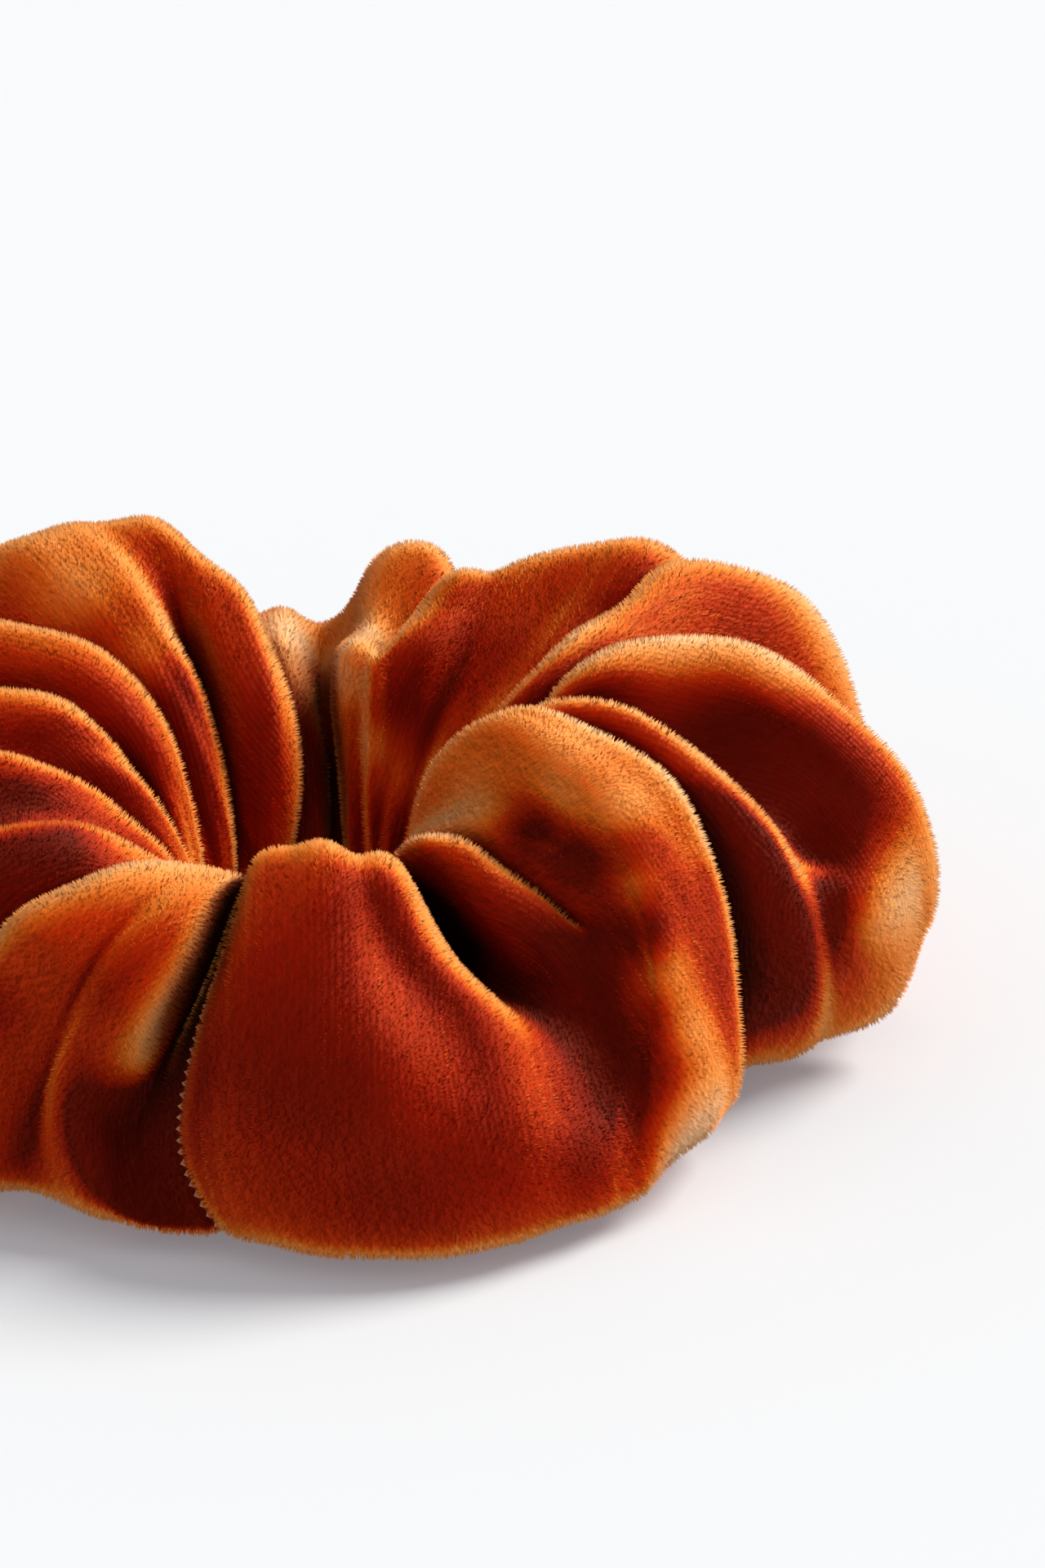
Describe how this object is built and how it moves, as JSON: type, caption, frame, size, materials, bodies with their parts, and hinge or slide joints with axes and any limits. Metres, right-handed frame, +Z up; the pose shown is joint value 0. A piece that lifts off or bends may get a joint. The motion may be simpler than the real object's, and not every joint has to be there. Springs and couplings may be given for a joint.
{
  "type": "hair scrunchie",
  "caption": "Soft hair tie: a tube of stretch velvet gathered in deep folds round a loop of flat elastic, lying flat as a fat pleated ring with a small open middle.",
  "frame": {"origin": "middle of the ring, on the surface that the scrunchie lies on", "axes": "+Z up, along the ring's axis; +Y away from the side that holds the end seam, which is 15 degrees from -Y towards -X; +X to the right seen from -Y"},
  "size_m": [0.108, 0.108, 0.034],
  "materials": {
    "velvet": "cut pile velvet, burnt orange, pale where the pile is seen edge-on",
    "thread": "twisted polyester thread",
    "elastic": "braided white elastic"
  },
  "bodies": {
    "casing": {"velvet_casing": "velvet", "long_seam_needle_thread": "thread", "long_seam_bobbin_thread": "thread", "end_seam_needle_thread": "thread", "end_seam_bobbin_thread": "thread"},
    "elastic": {"elastic_band": "elastic", "elastic_tack_needle_thread": "thread", "elastic_tack_bobbin_thread": "thread"}
  },
  "joints": [
    {"name": "elastic_slip", "type": "hinge", "parent": "casing", "child": "elastic", "pos_m": [0, 0, 0.01], "axis": [0, 0, 1], "continuous": true}
  ]
}
